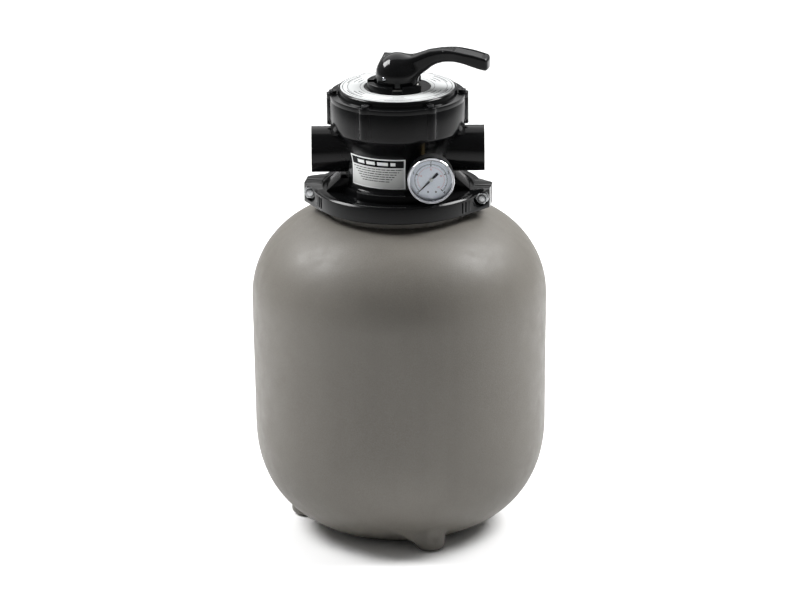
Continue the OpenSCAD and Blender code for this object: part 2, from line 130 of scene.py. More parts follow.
def moulded(name, dark, light, rough, grain, grain_scale, coat=0.0, worn=None, level=0.5):
    """Moulded plastic: mottled colour, uneven gloss, fine surface grain and paler worn edges."""
    mat, tree, shader, coords = new_material(name)
    blotch = 14.0
    colour = add_mix(tree, add_range(tree, add_noise(tree, coords, blotch), 0, 1), dark, light)
    if worn:
        colour = add_mix(tree, edge_wear(tree), colour, worn)
    tree.links.new(colour, shader.inputs["Base Color"])
    patchy = add_noise(tree, coords, blotch * 3, 4)
    tree.links.new(add_range(tree, patchy, rough[0], rough[1]), shader.inputs["Roughness"])
    shader.inputs["Specular IOR Level"].default_value = level
    shader.inputs["Coat Weight"].default_value = coat
    shader.inputs["Coat Roughness"].default_value = 0.12
    add_bump(tree, shader, [
        (add_noise(tree, coords, 24, 1), 0.12, 0.2),
        (add_noise(tree, coords, grain_scale, 2), grain, 0.12)])
    return mat


def tank_plastic():
    """Blow-moulded polyethylene: warm grey, satin, with a fine pebble grain."""
    mat, tree, shader, coords = new_material("tank_plastic")
    cloudy = add_range(tree, add_noise(tree, coords, 7, 4), 0, 1)
    base = add_mix(tree, cloudy, (0.122, 0.113, 0.098), (0.138, 0.129, 0.113))
    specks = add_range(tree, add_noise(tree, coords, 900, 2), 0, 1, 0.35, 0.75)
    speckled = add_mix(tree, specks, base, (0.157, 0.148, 0.132))
    streaks = add_range(tree, add_noise(tree, coords, 34, 3, 0.5, (1, 1, 0.06)), 0, 0.35, 0.45, 0.8)
    tree.links.new(add_mix(tree, streaks, speckled, (0.118, 0.110, 0.096)), shader.inputs["Base Color"])
    gloss = add_range(tree, add_noise(tree, coords, 60, 4), 0.42, 0.54)
    tree.links.new(gloss, shader.inputs["Roughness"])
    shader.inputs["Specular IOR Level"].default_value = 0.3
    pebble = tree.nodes.new("ShaderNodeTexVoronoi")
    pebble.feature = "SMOOTH_F1"
    pebble.inputs["Scale"].default_value = 620
    tree.links.new(coords, pebble.inputs["Vector"])
    add_bump(tree, shader, [
        (add_noise(tree, coords, 16, 2), 0.2, 0.9),
        (pebble.outputs["Distance"], 0.35, 0.22),
        (add_noise(tree, coords, 1500, 2), 0.35, 0.1)])
    return mat


def metal(name, colour, tint, rough, brushed=None):
    """Metal with uneven polish; brushed is the stretch of its fine scratches."""
    mat, tree, shader, coords = new_material(name)
    shader.inputs["Metallic"].default_value = 1.0
    tone = add_range(tree, add_noise(tree, coords, 40), 0, 1)
    tree.links.new(add_mix(tree, tone, colour, tint), shader.inputs["Base Color"])
    polish = add_range(tree, add_noise(tree, coords, 160, 4), rough[0], rough[1])
    tree.links.new(polish, shader.inputs["Roughness"])
    lines = add_noise(tree, coords, 500, 3, 0.6, brushed or (1, 1, 1))
    add_bump(tree, shader, [(lines, 0.25 if brushed else 0.06, 0.05)])
    return mat


def printed(name, colour, tint, rough=0.35, level=0.5):
    """Printed film or paint: even colour, slight handling marks in its gloss."""
    mat, tree, shader, coords = new_material(name)
    tone = add_range(tree, add_noise(tree, coords, 25, 4), 0, 1)
    tree.links.new(add_mix(tree, tone, colour, tint), shader.inputs["Base Color"])
    shader.inputs["Specular IOR Level"].default_value = level
    smudge = add_noise(tree, coords, 55, 4)
    tree.links.new(add_range(tree, smudge, rough - 0.06, rough + 0.1), shader.inputs["Roughness"])
    add_bump(tree, shader, [(add_noise(tree, coords, 700, 2), 0.12, 0.04)])
    return mat


def glass(name):
    """Clear pane with a faintly uneven polish."""
    mat, tree, shader, coords = new_material(name)
    shader.inputs["Base Color"].default_value = (0.97, 0.98, 0.99, 1)
    shader.inputs["Transmission Weight"].default_value = 1.0
    shader.inputs["IOR"].default_value = 1.12
    tree.links.new(add_range(tree, add_noise(tree, coords, 120, 3), 0.0, 0.05), shader.inputs["Roughness"])
    add_bump(tree, shader, [(add_noise(tree, coords, 60, 2), 0.03, 0.05)])
    return mat


BLACK = moulded("black_plastic", (0.0024, 0.0026, 0.0028), (0.0042, 0.0044, 0.0047), (0.13, 0.19), 0.08,
                900, worn=(0.007, 0.007, 0.0075), level=0.16)
GLOSS = moulded("black_gloss", (0.0026, 0.0028, 0.003), (0.0044, 0.0046, 0.005), (0.1, 0.16), 0.08,
                700, coat=0.1, worn=(0.014, 0.014, 0.015), level=0.2)
SATIN = moulded("pad_satin", (0.007, 0.0073, 0.0078), (0.011, 0.0113, 0.0118), (0.35, 0.48), 0.5,
                1500, level=0.3)
CASE = moulded("gauge_black", (0.016, 0.016, 0.017), (0.024, 0.024, 0.025), (0.25, 0.38), 0.3, 1200,
               worn=(0.06, 0.06, 0.06))
DARK = moulded("dark_plastic", (0.045, 0.045, 0.047), (0.06, 0.06, 0.062), (0.4, 0.5), 0.3, 900)
WHITE = moulded("white_plastic", (0.7, 0.7, 0.66), (0.78, 0.78, 0.74), (0.35, 0.48), 0.25, 900)
RUBBER = moulded("rubber", (0.017, 0.017, 0.017), (0.026, 0.026, 0.026), (0.5, 0.68), 0.5, 1100)
TANK = tank_plastic()
STEEL = metal("steel", (0.42, 0.43, 0.44), (0.54, 0.55, 0.55), (0.22, 0.36), (1, 12, 1))
CHROME = metal("chrome", (0.5, 0.51, 0.54), (0.6, 0.61, 0.64), (0.08, 0.16))
BRASS = metal("brass", (0.22, 0.16, 0.07), (0.3, 0.22, 0.1), (0.22, 0.36), (1, 9, 1))
BLACKED = metal("screw_coating", (0.03, 0.03, 0.032), (0.06, 0.06, 0.063), (0.22, 0.4), (6, 1, 1))
FILM = printed("label_film", (0.42, 0.43, 0.43), (0.47, 0.48, 0.48), 0.7, 0.08)
FILM_GREY = printed("label_grey", (0.6, 0.61, 0.6), (0.66, 0.67, 0.66), 0.6, 0.12)
STICKER = printed("sticker_white", (0.86, 0.87, 0.87), (0.92, 0.93, 0.93), 0.6, 0.12)
INK = printed("ink_black", (0.004, 0.004, 0.0045), (0.008, 0.008, 0.009), 0.45, 0.08)
INK_GREY = printed("ink_grey", (0.2, 0.205, 0.21), (0.26, 0.265, 0.27), 0.4)
INK_RED = printed("ink_red", (0.55, 0.1, 0.09), (0.65, 0.15, 0.13), 0.4)
DIAL = printed("dial_white", (0.8, 0.84, 0.92), (0.86, 0.9, 0.96), 0.32)
NEEDLE = printed("needle_black", (0.012, 0.012, 0.016), (0.022, 0.022, 0.028), 0.25, 0.2)
LENS = glass("clear_lens")

SLOT_LOOKS = {
    "tank_plastic": TANK, "black_plastic": BLACK, "black_gloss": GLOSS, "gauge_black": CASE,
    "screw_coating": BLACKED, "steel": STEEL, "chrome": CHROME, "brass": BRASS, "rubber": RUBBER,
    "white_plastic": WHITE, "dark_plastic": DARK, "label_film": FILM, "dial_white": DIAL,
    "needle_black": NEEDLE, "clear_lens": LENS}
NODE_SLOT = {s["node"]: s["material_slot"] for s in frame["record"]["subparts"]}
for node_name, node_object in NODES.items():
    node_object.data.materials.clear()
    node_object.data.materials.append(SLOT_LOOKS[NODE_SLOT[node_name]])


# ---------------------------------------------------------------- mesh helpers

def piece(name, mesh, body, look, nodes=()):
    """A mesh as a named piece that rides on a body, in place of any nodes given."""
    obj = bpy.data.objects.new(name, mesh)
    bpy.context.scene.collection.objects.link(obj)
    mesh.materials.clear()
    mesh.materials.append(look)
    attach(obj, body)
    if nodes:
        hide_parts(*nodes)


def mesh_of(name, points, faces, sharp=50):
    """A mesh from points in mm. Edges sharper than the angle stay crisp."""
    mesh = bpy.data.meshes.new(name)
    corners = (np.asarray(points, float) * MM).tolist()
    mesh.from_pydata(corners, [], [tuple(int(i) for i in f) for f in faces])
    mesh.validate()
    work = bmesh.new()
    work.from_mesh(mesh)
    bmesh.ops.recalc_face_normals(work, faces=work.faces)
    work.to_mesh(mesh)
    work.free()
    mesh.shade_smooth()
    mesh.set_sharp_from_angle(angle=math.radians(sharp))
    return mesh


def lathe(profile, steps=96, start=0.0, sweep=360.0):
    """Points and faces of a closed (radius, height) profile turned about Z, all the way or in part."""
    whole = sweep >= 360
    count = steps if whole else steps + 1
    n = len(profile)
    points = []
    for i in range(count):
        a = math.radians(start + sweep * i / steps)
        points += [(r * math.cos(a), r * math.sin(a), z) for r, z in profile]
    faces = []
    for i in range(steps):
        for j in range(n):
            a, b = i * n + j, i * n + (j + 1) % n
            c, d = (i + 1) % count * n + (j + 1) % n, (i + 1) % count * n + j
            faces.append((a, b, c, d))
    # a part turn gets its two end faces
    if not whole:
        faces.append(tuple(range(n)))
        faces.append(tuple(range((count - 1) * n, count * n))[::-1])
    return np.array(points), faces


def rounded(corners, radius, steps=4):
    """A closed outline with its corners rounded; radius may be a list, one for each corner."""
    n = len(corners)
    radii = [radius] * n if isinstance(radius, (int, float)) else radius
    out = []
    for i in range(n):
        a, b, c = (np.array(corners[(i + k) % n], float) for k in (-1, 0, 1))
        r = radii[i]
        if r <= 0:
            out.append(tuple(b))
            continue
        u, v = a - b, c - b
        lu, lv = np.linalg.norm(u), np.linalg.norm(v)
        u, v = u / lu, v / lv
        half = math.acos(max(-1, min(1, float(u @ v)))) / 2
        cut = min(r / math.tan(half), 0.49 * lu, 0.49 * lv)
        for k in range(steps + 1):
            t = k / steps
            out.append(tuple(b + u * cut * (1 - t) ** 2 + v * cut * t ** 2))
    return out


def turned_forward(points, centre):
    """Points modelled about +Z, turned so that +Z looks to the front (-Y), and put at a centre."""
    p = np.asarray(points, float)
    return np.stack([p[:, 0], -p[:, 2], p[:, 1]], 1) + np.array(centre)


def joined(parts):
    """One point list and one face list from several."""
    points, faces, start = [], [], 0
    for p, f in parts:
        points.append(np.asarray(p, float))
        faces += [tuple(i + start for i in face) for face in f]
        start += len(p)
    return np.concatenate(points), faces


def refined(node, width, body="root"):
    """A CAD node's shape with its edges rounded by a width in mm, as a new piece in its place."""
    weld, flat_angle, bevel_angle, smooth_angle = 0.01 * MM, 0.4, 28, 32
    mesh = NODES[node].data.copy()
    work = bmesh.new()
    work.from_mesh(mesh)
    bmesh.ops.remove_doubles(work, verts=work.verts, dist=weld)
    bmesh.ops.dissolve_limit(work, angle_limit=math.radians(flat_angle), verts=work.verts, edges=work.edges)
    edges = [e for e in work.edges
             if len(e.link_faces) == 2 and e.calc_face_angle(0) > math.radians(bevel_angle)]
    bmesh.ops.bevel(work, geom=edges, offset=width * MM, segments=2, profile=0.6,
                    affect="EDGES", clamp_overlap=True, offset_type="OFFSET")
    bmesh.ops.triangulate(work, faces=[f for f in work.faces if len(f.verts) > 4])
    work.to_mesh(mesh)
    work.free()
    mesh.validate()
    mesh.shade_smooth()
    mesh.set_sharp_from_angle(angle=math.radians(smooth_angle))
    slot = NODE_SLOT[node]
    piece(node + "_rounded", mesh, body, SLOT_LOOKS[slot], [node])


def surface_net(f, lo, hi, step):
    """Closed quad surface of f = 0, with f < 0 inside, and its points drawn onto the surface."""
    axes = [np.arange(a - 2 * step, b + 3 * step, step) for a, b in zip(lo, hi)]
    grid = np.meshgrid(*axes, indexing="ij")
    value = f(*grid)
    size = np.array(value.shape)
    cells = size - 1
    total = np.zeros((*cells, 3))
    count = np.zeros(cells)
    quads = []
    for axis in range(3):
        a = np.take(value, range(size[axis] - 1), axis)
        b = np.take(value, range(1, size[axis]), axis)
        cross = np.argwhere((a < 0) != (b < 0))
        others = [k for k in range(3) if k != axis]
        keep = np.all([(cross[:, k] > 0) & (cross[:, k] < size[k] - 1) for k in others], axis=0)
        cross = cross[keep]
        va, vb = a[tuple(cross.T)], b[tuple(cross.T)]
        where = np.stack([axes[k][cross[:, k]] for k in range(3)], 1)
        where[:, axis] += step * va / (va - vb)
        corner = []
        for du, dv in ((0, 0), (1, 0), (1, 1), (0, 1)):
            cell = cross.copy()
            cell[:, others[0]] -= du
            cell[:, others[1]] -= dv
            np.add.at(total, tuple(cell.T), where)
            np.add.at(count, tuple(cell.T), 1)
            corner.append(np.ravel_multi_index(tuple(cell.T), tuple(cells)))
        quad = np.stack(corner, 1)
        flip = (va < 0) == (axis == 1)
        quad[flip] = quad[flip][:, ::-1]
        quads.append(quad)
    quads = np.concatenate(quads)
    used = np.unique(quads)
    number = np.full(int(np.prod(cells)), -1)
    number[used] = np.arange(len(used))
    points = (total.reshape(-1, 3) / np.maximum(count.reshape(-1, 1), 1))[used]
    # Newton steps onto f = 0, along the slope measured over a small length h
    h = step * 0.05
    for _ in range(4):
        v = f(*points.T)
        g = np.stack([f(*(points + h * np.eye(3)[k]).T) - v for k in range(3)], 1) / h
        points -= np.clip(v[:, None] * g / np.maximum((g * g).sum(1, keepdims=True), 0.05), -step, step)
    return points, number[quads]


def blend_min(a, b, k):
    """The lesser of two distances, with a fillet of about k where they meet."""
    h = np.clip(0.5 + 0.5 * (b - a) / k, 0, 1)
    return b * (1 - h) + a * h - k * h * (1 - h)


# ---------------------------------------------------------------- tank

TANK_R, _, TANK_TOP = box_mm("tank_shell")[1]
WALL_DRAFT = 2.5
TANK_LOW_R = TANK_R - WALL_DRAFT
BOTTOM_Z, BOTTOM_H, BOTTOM_POWER = 136.0, 147.0, 0.84
SHOULDER_Z, SHOULDER_CURVE = 284.0, 106.0
TANK_WALL = 5.0
BASE_GAP = 1.0
NECK = (86.0, 386.0)
FLANGE_R, FLANGE_HALF = 94.5, 3.45
FEET = [Vector(m["pos_m"]) / MM for m in frame["record"]["mounts"] if m["name"].startswith("foot")]
FOOT_R, FOOT_ROUND, FOOT_HALF_HEIGHT = 17.3, 8.5, 40
DISH_R, DISH_OUT, DISH_Z = 12.5, 27, 21
WEB_SLOPE, WEB_STRETCH = 0.78, 1.27
WEB_FLOOR, WEB_START, WEB_END, WEB_TOP = 2.0, 11.0, 54.0, 60.0
WEB_HALF, WEB_ROUND, WEB_BACK = 6.0, 4.0, 4.0
FOOT_FILLET, DISH_FILLET = 4.0, 3.0
MOUTH_R, MOUTH_EDGE, NECK_INSIDE_Z = 80.0, 1.5, 384.0
CUT_R, CUT_DEPTH = 84.0, 1.5


def tank_profile(t):
    """Outside of the tank from its bottom pole to the neck, drawn in by t."""
    curve = []
    for i in range(1, 91):
        a = math.radians(i)
        z = BOTTOM_Z - (BOTTOM_H - t) * math.cos(a) ** BOTTOM_POWER
        curve.append(((TANK_LOW_R - t) * math.sin(a) ** BOTTOM_POWER, max(BASE_GAP + t, z)))
    for i in range(1, 12):
        s = i / 12
        curve.append((TANK_LOW_R - t + WALL_DRAFT * s, BOTTOM_Z + (SHOULDER_Z - BOTTOM_Z) * s))
    for i in range(0, 81, 2):
        a = math.radians(i)
        r = SHOULDER_CURVE - t
        curve.append((TANK_R - SHOULDER_CURVE + r * math.cos(a), SHOULDER_Z + r * math.sin(a)))
    return [(0.0, BASE_GAP + t)] + curve


def tank_distance():
    """Function that gives the distance to the tank's skin with its feet, about right near the skin."""
    line = np.array(tank_profile(0) + [NECK, (NECK[0], TANK_TOP), (0.0, TANK_TOP)])
    # the outline is read as a radius against the angle seen from a point inside, at this height
    centre = 210.0
    fine = []
    for a, b in zip(line[:-1], line[1:]):
        n = max(2, int(np.linalg.norm(b - a) / 0.4))
        fine += [a + (b - a) * i / n for i in range(n)]
    fine = np.array(fine)
    slope = np.gradient(fine, axis=0)
    slope /= np.maximum(np.linalg.norm(slope, axis=1, keepdims=True), 1e-9)
    arm = fine - (0, centre)
    reach = np.linalg.norm(arm, axis=1)
    angle = np.arctan2(arm[:, 1], arm[:, 0])
    facing = np.abs(slope[:, 1] * arm[:, 0] - slope[:, 0] * arm[:, 1]) / reach
    order = np.argsort(angle)
    angle, reach, facing = angle[order], reach[order], facing[order]

    def distance(x, y, z):
        r = np.hypot(x, y)
        a = np.arctan2(z - centre, r)
        shell = (np.hypot(r, z - centre) - np.interp(a, angle, reach)) * np.interp(a, angle, facing)
        for f in FEET:
            out = math.hypot(f.x, f.y)
            ux, uy = f.x / out, f.y / out
            along = (x - f.x) * ux + (y - f.y) * uy
            across = -(x - f.x) * uy + (y - f.y) * ux
            flat = np.hypot(along, across) - (FOOT_R - FOOT_ROUND)
            tall = np.abs(z - FOOT_HALF_HEIGHT) - (FOOT_HALF_HEIGHT - FOOT_ROUND)
            stub = np.hypot(np.maximum(flat, 0), np.maximum(tall, 0)) - FOOT_ROUND
            stub = stub + np.minimum(np.maximum(flat, tall), 0)
            # web that runs from the stub up to the tank with a sloped underside, and a shallow dish
            # in the stub's outer face
            slope = (WEB_FLOOR + WEB_SLOPE * np.maximum(-across - WEB_START, 0) - z) / WEB_STRETCH
            web = np.hypot(np.maximum(np.abs(along) - WEB_HALF, 0), np.maximum(slope + WEB_ROUND, 0))
            ends = np.maximum(across - WEB_BACK, np.maximum(-across - WEB_END, z - WEB_TOP))
            web = np.maximum(web - WEB_ROUND, ends)
            dish = np.sqrt(across ** 2 + (along - DISH_OUT) ** 2 + (z - DISH_Z) ** 2) - DISH_R
            stub = blend_min(stub, web, FOOT_FILLET)
            stub = -blend_min(-stub, dish, DISH_FILLET)
            shell = blend_min(shell, stub, FOOT_FILLET)
        flange = np.maximum(r - FLANGE_R, np.abs(z - TANK_TOP + FLANGE_HALF) - FLANGE_HALF)
        return np.maximum(np.minimum(shell, flange), 0.25 - z)
    return distance


def tank_mesh():
    """The tank's wall: an outer skin, a turned inner skin and the rim of the mouth between them."""
    grid_step = 3.1
    low, high = (-TANK_R, -TANK_R, 0), (TANK_R, TANK_R, TANK_TOP)
    points, quads = surface_net(tank_distance(), low, high, grid_step)
    # the skin's top is cut open inside the mouth, and the cut's edge is followed round
    middle = points[quads].mean(1)
    cap = (np.hypot(middle[:, 0], middle[:, 1]) < CUT_R) & (middle[:, 2] > TANK_TOP - CUT_DEPTH)
    quads = quads[~cap]
    edges = {}
    for q in quads:
        for a, b in zip(q, np.roll(q, -1)):
            edges[(int(a), int(b))] = True
    follow = {b: a for a, b in edges if (b, a) not in edges}
    loop = [next(iter(follow))]
    while follow[loop[-1]] != loop[0]:
        loop.append(follow[loop[-1]])
    inner = [(r, z) for r, z in tank_profile(TANK_WALL)[1::2] if r > 1]
    inner += [(MOUTH_R, NECK_INSIDE_Z), (MOUTH_R, TANK_TOP - 2), (MOUTH_R + MOUTH_EDGE, TANK_TOP)]
    steps, n = 96, len(inner)
    rows = []
    for i in range(steps):
        a = 2 * math.pi * i / steps
        rows += [(r * math.cos(a), r * math.sin(a), z) for r, z in inner]
    base = len(points)
    faces = [tuple(q) for q in quads]
    for i in range(steps):
        for j in range(n - 1):
            a, b = base + i * n + j, base + i * n + j + 1
            c, d = base + (i + 1) % steps * n + j + 1, base + (i + 1) % steps * n + j
            faces.append((a, b, c, d))
    faces.append(tuple(base + i * n for i in range(steps)))
    # flat rim between the outer loop and the inner skin's last row
    turn = np.arctan2(points[loop, 1], points[loop, 0])
    if np.sum(np.sin(np.diff(turn)) > 0) < len(turn) / 2:
        loop, turn = loop[::-1], turn[::-1]
    shift = int(np.argmin(np.abs(turn)))
    loop = loop[shift:] + loop[:shift]
    turn = np.maximum.accumulate(np.unwrap(np.roll(turn, -shift)))
    rim = [base + i * n + n - 1 for i in range(steps)]
    i = 0
    j = 0
    used_up = 99
    while i < len(loop) or j < steps:
        next_out = turn[i + 1] if i + 1 < len(loop) else (2 * math.pi if i < len(loop) else used_up)
        next_in = 2 * math.pi * (j + 1) / steps if j < steps else used_up - 1
        if next_out <= next_in:
            faces.append((loop[i % len(loop)], loop[(i + 1) % len(loop)], rim[j % steps]))
            i += 1
        else:
            faces.append((loop[i % len(loop)], rim[(j + 1) % steps], rim[j % steps]))
            j += 1
    return mesh_of("tank", np.concatenate([points, rows]), faces, 60)


piece("tank", tank_mesh(), "root", TANK, ["tank_shell"])


# ---------------------------------------------------------------- handle

JOINTS = {j["name"]: j for j in frame["record"]["behaviour"]["joints"]}
PIN = Vector(JOINTS["handle_press"]["pos_m"]) / MM
HANDLE_TURN = math.atan2(-PIN.y, -PIN.x)
PIN_OFFSET = math.hypot(PIN.x, PIN.y)
HUB_R, HUB_LOW, DOME_Z = 25.4, 541.9, 555.2
PRESS_SLOPE = math.radians(10.5)
FULCRUM_X = 12.0
STEM_R, STEM_TRAVEL = 16.5, 3.5
ARM_BACK, ARM_FILLET = -2.0, 6.0
CHEEK_Y, CHEEK_HALF_Y, CHEEK_FRONT, CHEEK_BACK = 10.5, 6.5, -5.0, -24.5
CHEEK_LOW, CHEEK_TOP, CHEEK_FILLET = 545.0, 576.0, 2.0
CHEEK_LEAN_Z, CHEEK_LEAN, CHEEK_LEAN_SCALE = 561.0, 0.45, 0.9
RECESS_HALF_X, RECESS_HALF_Y, RECESS_DEPTH, RECESS_EDGE = 18.0, 9.8, 0.8, 0.5
HOLLOW_R, HOLLOW_FILLET = 34.0, 0.6
SLOT_X, SLOT_HALF_X, SLOT_HALF_Y, SLOT_TOP = 2.0, 22.0, 8.4, 566.5
POCKET_GAP, POCKET_TOP = 1.0, 551.0
# the arm's centre line: distance from the axis, height, half thickness, half width
ARM = np.array([
    (0, 559, 14.0, 16), (12, 562.0, 13.6, 15), (24, 566.8, 12.0, 12.2), (33, 571.5, 10.6, 10.4),
    (42, 576.4, 9.0, 9.6), (52, 579.7, 7.9, 10), (62, 581.0, 7.2, 11.2), (72, 580.8, 6.6, 13.2),
    (82, 579.0, 6.6, 14.1), (92, 576.4, 7.2, 14.1), (101, 573.9, 7.3, 13.8), (108, 572.3, 7.2, 13.4),
    (113, 571.6, 7.0, 13.0)])
ARM_TIP = 110.6
PARTING_X, PARTING_HALF = 55.5, 0.35
PAD_X, PAD_HALF_X, PAD_HALF_Y = 86.0, 16.5, 9.0
PIN_R, PIN_BORE_R, PIN_HALF = 2.55, 2.6, 23.1


def in_handle_frame(points):
    """From the handle's own frame, arm along +X, to the model's."""
    c, s = math.cos(HANDLE_TURN), math.sin(HANDLE_TURN)
    p = np.asarray(points, float)
    return np.stack([c * p[:, 0] - s * p[:, 1], s * p[:, 0] + c * p[:, 1], p[:, 2]], 1)


def smooth_curve(x, column):
    """Natural smooth reading of one column of the arm's table."""
    xs, ys = ARM[:, 0], ARM[:, column]
    slope = np.gradient(ys, xs)
    xc = np.clip(x, xs[0], xs[-1])
    i = np.clip(np.searchsorted(xs, xc) - 1, 0, len(xs) - 2)
    h = xs[i + 1] - xs[i]
    t = (xc - xs[i]) / h
    ends = (2 * t ** 3 - 3 * t ** 2 + 1) * ys[i] + (3 * t ** 2 - 2 * t ** 3) * ys[i + 1]
    return ends + (t ** 3 - 2 * t ** 2 + t) * slope[i] * h + (t ** 3 - t ** 2) * slope[i + 1] * h


def rounded_box(u, v, w, a, b, c, r):
    """Distance to a box of half sizes a, b, c with rounded edges."""
    qu, qv, qw = np.abs(u) - (a - r), np.abs(v) - (b - r), np.abs(w) - (c - r)
    out = np.sqrt(np.maximum(qu, 0) ** 2 + np.maximum(qv, 0) ** 2 + np.maximum(qw, 0) ** 2)
    return out + np.minimum(np.maximum(np.maximum(qu, qv), qw), 0) - r


def arm_distance(x, y, z):
    """Distance to the arm: the table's rounded section along its centre line, closed at the tip."""
    slope = (smooth_curve(x + 1, 1) - smooth_curve(x - 1, 1)) / 2
    height = (z - smooth_curve(x, 1)) / np.sqrt(1 + slope ** 2)
    thick, wide = smooth_curve(x, 2), smooth_curve(x, 3)
    round_edge = np.interp(x, [0, 45, 70, 113], [8, 5.5, 3.0, 2.6])
    qu, qv = np.abs(y) - (wide - round_edge), np.abs(height) - (thick - round_edge)
    section = np.hypot(np.maximum(qu, 0), np.maximum(qv, 0)) + np.minimum(np.maximum(qu, qv), 0)
    section = section - round_edge
    end = x - ARM_TIP + 0.01 * y ** 2
    tip_round = 3.2
    return np.hypot(np.maximum(section + tip_round, 0), np.maximum(end + tip_round, 0)) - tip_round


def handle_distance(x, y, z):
    """Distance to the handle's skin, in its own frame, with the arm along +X."""
    radius = np.hypot(x, y)
    dome = np.sqrt(radius ** 2 + (z - DOME_Z) ** 2) - HUB_R
    skirt = np.maximum(radius - HUB_R, z - DOME_Z)
    hub = np.where(z > DOME_Z, dome, skirt)
    arm = np.maximum(arm_distance(x, y, z), ARM_BACK - x)
    body = blend_min(hub, arm, ARM_FILLET)
    # cheek behind the dome, with an outer side that leans in higher up
    cheek = np.maximum(np.abs(y - CHEEK_Y) - CHEEK_HALF_Y, np.maximum(z - CHEEK_TOP, CHEEK_LOW - z))
    lean = np.maximum(z - CHEEK_LEAN_Z, 0) * CHEEK_LEAN
    cheek = np.maximum(np.maximum(cheek, x - CHEEK_FRONT), (CHEEK_BACK - x + lean) * CHEEK_LEAN_SCALE)
    body = blend_min(body, cheek, CHEEK_FILLET)
    # the groove of the mould's parting line, across the arm
    line = np.abs(x - PARTING_X) - PARTING_HALF
    body = np.maximum(body, -np.maximum(line, -body - PARTING_HALF))
    # the pad's shallow recess on the paddle's top
    top = smooth_curve(x, 1) + smooth_curve(x, 2)
    recess = rounded_box(x - PAD_X, y, z - top, RECESS_HALF_X, RECESS_HALF_Y, RECESS_DEPTH, RECESS_EDGE)
    body = -blend_min(-body, recess, RECESS_EDGE)
    # underside, with its slope in front of the fulcrum, and the pocket for the stem's head
    rise = HUB_LOW + (x - FULCRUM_X) * math.tan(PRESS_SLOPE)
    under = np.maximum(HUB_LOW - z, (rise - z) * math.cos(PRESS_SLOPE))
    far_away = -99.0
    under = np.where(radius < HOLLOW_R, under, far_away)
    body = -blend_min(-body, -under, HOLLOW_FILLET)
    slot = np.maximum(np.maximum(np.abs(x - SLOT_X) - SLOT_HALF_X, np.abs(y) - SLOT_HALF_Y), z - SLOT_TOP)
    stem = np.minimum(radius, np.hypot(x - STEM_TRAVEL, y))
    pocket = np.maximum(stem - (STEM_R + POCKET_GAP), z - POCKET_TOP)
    body = np.maximum(body, -np.minimum(slot, pocket))
    bore = np.hypot(x + PIN_OFFSET, z - PIN.z) - PIN_BORE_R
    return np.maximum(body, -bore)


def handle_piece():
    grid_step = 0.74
    points, quads = surface_net(handle_distance, (-27, -27, 540), (112, 27, 590), grid_step)
    mesh = mesh_of("handle_lever", in_handle_frame(points), quads, 55)
    piece("handle_lever", mesh, "lever", GLOSS, ["handle"])


def handle_pad():
    """Matte inset on the paddle's top."""
    near, far = PAD_X - PAD_HALF_X, PAD_X + PAD_HALF_X
    xs, ys = np.linspace(near, far, 34), np.linspace(-PAD_HALF_Y, PAD_HALF_Y, 20)
    outline = []
    for x in xs:
        for y in ys:
            edge = min(1.0, min(x - near, far - x, y + PAD_HALF_Y, PAD_HALF_Y - y) / 1.2)
            top = float(smooth_curve(np.array(x), 1) + smooth_curve(np.array(x), 2))
            outline.append((x, y, top - 1.0 + 0.55 * math.sqrt(edge)))
    low = [(x, y, z - 1.6) for x, y, z in outline]
    n, m = len(xs), len(ys)
    faces = []
    for i in range(n - 1):
        for j in range(m - 1):
            a, b, c, d = i * m + j, (i + 1) * m + j, (i + 1) * m + j + 1, i * m + j + 1
            faces += [(a, b, c, d), tuple(k + n * m for k in (d, c, b, a))]
    rim = [i * m for i in range(n)] + [(n - 1) * m + j for j in range(1, m)]
    rim += [i * m + m - 1 for i in range(n - 2, -1, -1)] + [j for j in range(m - 2, 0, -1)]
    for a, b in zip(rim, rim[1:] + rim[:1]):
        faces.append((b, a, a + n * m, b + n * m))
    mesh = mesh_of("handle_pad", in_handle_frame(outline + low), faces, 40)
    piece("handle_pad", mesh, "lever", SATIN)


def handle_pin():
    """Pin with domed ends, across the hub."""
    dome = 1.3
    profile = [(0.01, -PIN_HALF)]
    for degrees in range(15, 91, 15):
        a = math.radians(degrees)
        profile.append((PIN_R * math.sin(a), -PIN_HALF + dome - dome * math.cos(a)))
    profile += [(q, -z) for q, z in reversed(profile)]
    points, faces = lathe(profile, 40)
    points = np.stack([points[:, 0] - PIN_OFFSET, points[:, 2], points[:, 1] + PIN.z], 1)
    piece("pin", mesh_of("pin", in_handle_frame(points), faces), "lever", CHROME, ["handle_pin"])


handle_piece()
handle_pad()
handle_pin()


# ---------------------------------------------------------------- valve, lid and clamp

refined("valve_body", 0.7)
refined("valve_lid", 0.6)
refined("clamp_front", 0.8)
refined("clamp_rear", 0.8)
refined("lid_screws", 0.25)
refined("clamp_bolts", 0.4)
refined("clamp_nuts", 0.5)
refined("handle_washer", 0.3, "turn")
refined("gauge_case", 0.6)
refined("gauge_stem", 0.4)


LABEL_IN_R = 40.0
NECK_R, BOWL_Z, BOWL_CURVE = 62.0, 449.3, 60.0
STICKER_FROM, STICKER_TO = 211.0, 277.8
PRINT_LIFT, PRINT_THICK = 0.34, 0.08
EDGE_DEGREES = 1.6


def slab(outline, low, high):
    """Upright block from a closed (x, y) outline."""
    n = len(outline)
    points = [(x, y, low) for x, y in outline] + [(x, y, high) for x, y in outline]
    faces = [tuple(range(n))[::-1], tuple(range(n, 2 * n))]
    faces += [(i, (i + 1) % n, (i + 1) % n + n, i + n) for i in range(n)]
    return points, faces


